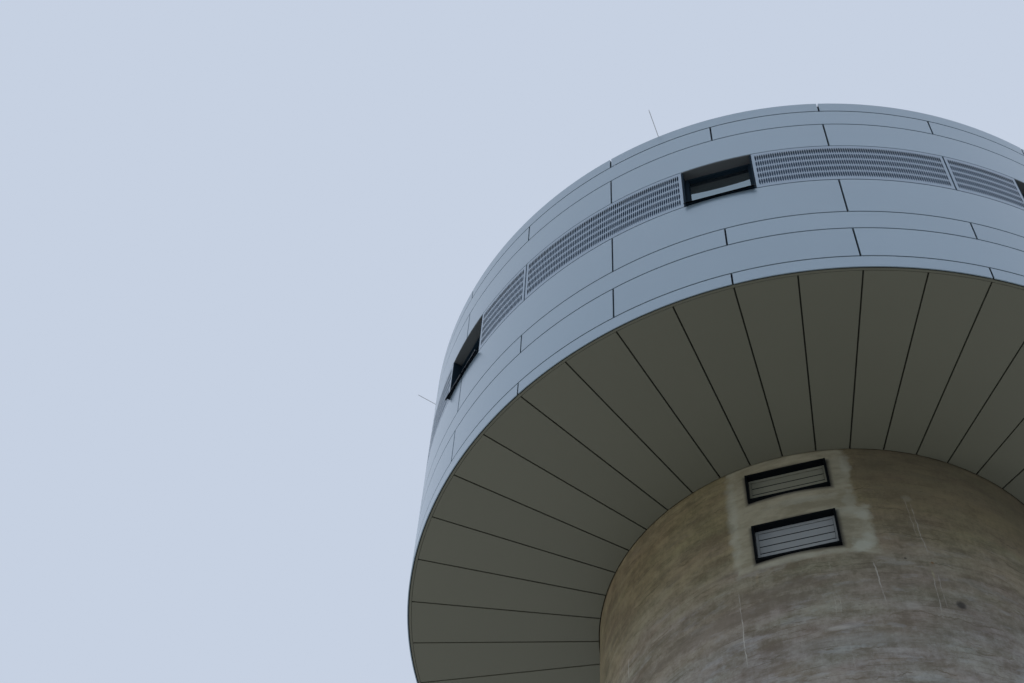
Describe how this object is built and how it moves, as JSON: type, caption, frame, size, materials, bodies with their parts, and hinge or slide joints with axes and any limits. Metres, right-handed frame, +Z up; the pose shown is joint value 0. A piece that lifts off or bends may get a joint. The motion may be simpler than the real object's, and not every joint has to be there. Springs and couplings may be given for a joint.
{
  "type": "water tower",
  "caption": "Round concrete shaft carrying a wider drum clad in curved metal panels, with a band of recessed windows and slotted vent panels over a flat panelled soffit.",
  "frame": {"origin": "on the ground at the tower's axis", "axes": "+Z up along the tower's axis; the column of shaft windows faces -Y"},
  "size_m": [16.1, 16.745, 30.7668],
  "materials": {
    "concrete": "fair-faced concrete, weathered, with pale runs",
    "cladding": "anodised light blue-grey sheet, satin",
    "soffit": "dull grey sheet",
    "grille": "slotted anodised sheet, satin",
    "dark_frame": "black paint, satin",
    "louvre": "natural aluminium blades",
    "glass": "dark, clear",
    "door": "grey paint, satin",
    "rod": "galvanised"
  },
  "bodies": {
    "root": {"shaft_wall_front": "concrete", "shaft_wall_right": "concrete", "shaft_wall_back": "concrete", "shaft_wall_left": "concrete", "drum_wall_front": "concrete", "drum_wall_right": "concrete", "drum_wall_back": "concrete", "drum_wall_left": "concrete", "ground_floor_slab": "concrete", "drum_base_slab": "concrete", "upper_floor_slab": "concrete", "roof_slab": "concrete", "parapet": "concrete", "fascia_ring": "cladding", "lower_tall_course": "cladding", "lower_narrow_course": "cladding", "sill_course": "cladding", "upper_tall_course": "cladding", "upper_narrow_course": "cladding", "coping": "cladding", "soffit_panels": "soffit", "vent_grille_1": "grille", "vent_grille_2": "grille", "vent_grille_3": "grille", "vent_grille_4": "grille", "vent_grille_5": "grille", "vent_grille_6": "grille", "vent_grille_7": "grille", "vent_grille_8": "grille", "window_frame_1": "dark_frame", "window_frame_2": "dark_frame", "window_frame_3": "dark_frame", "window_frame_4": "dark_frame", "window_frame_5": "dark_frame", "window_frame_6": "dark_frame", "window_frame_7": "dark_frame", "window_frame_8": "dark_frame", "window_pane_1": "glass", "window_pane_2": "glass", "window_pane_3": "glass", "window_pane_4": "glass", "window_pane_5": "glass", "window_pane_6": "glass", "window_pane_7": "glass", "window_pane_8": "glass", "upper_shaft_window_frame": "dark_frame", "upper_shaft_louvre": "louvre", "lower_shaft_window_frame": "dark_frame", "lower_shaft_louvre": "louvre", "entrance_door_frame": "dark_frame", "entrance_door": "door", "lightning_rods": "rod"}
  },
  "joints": []
}
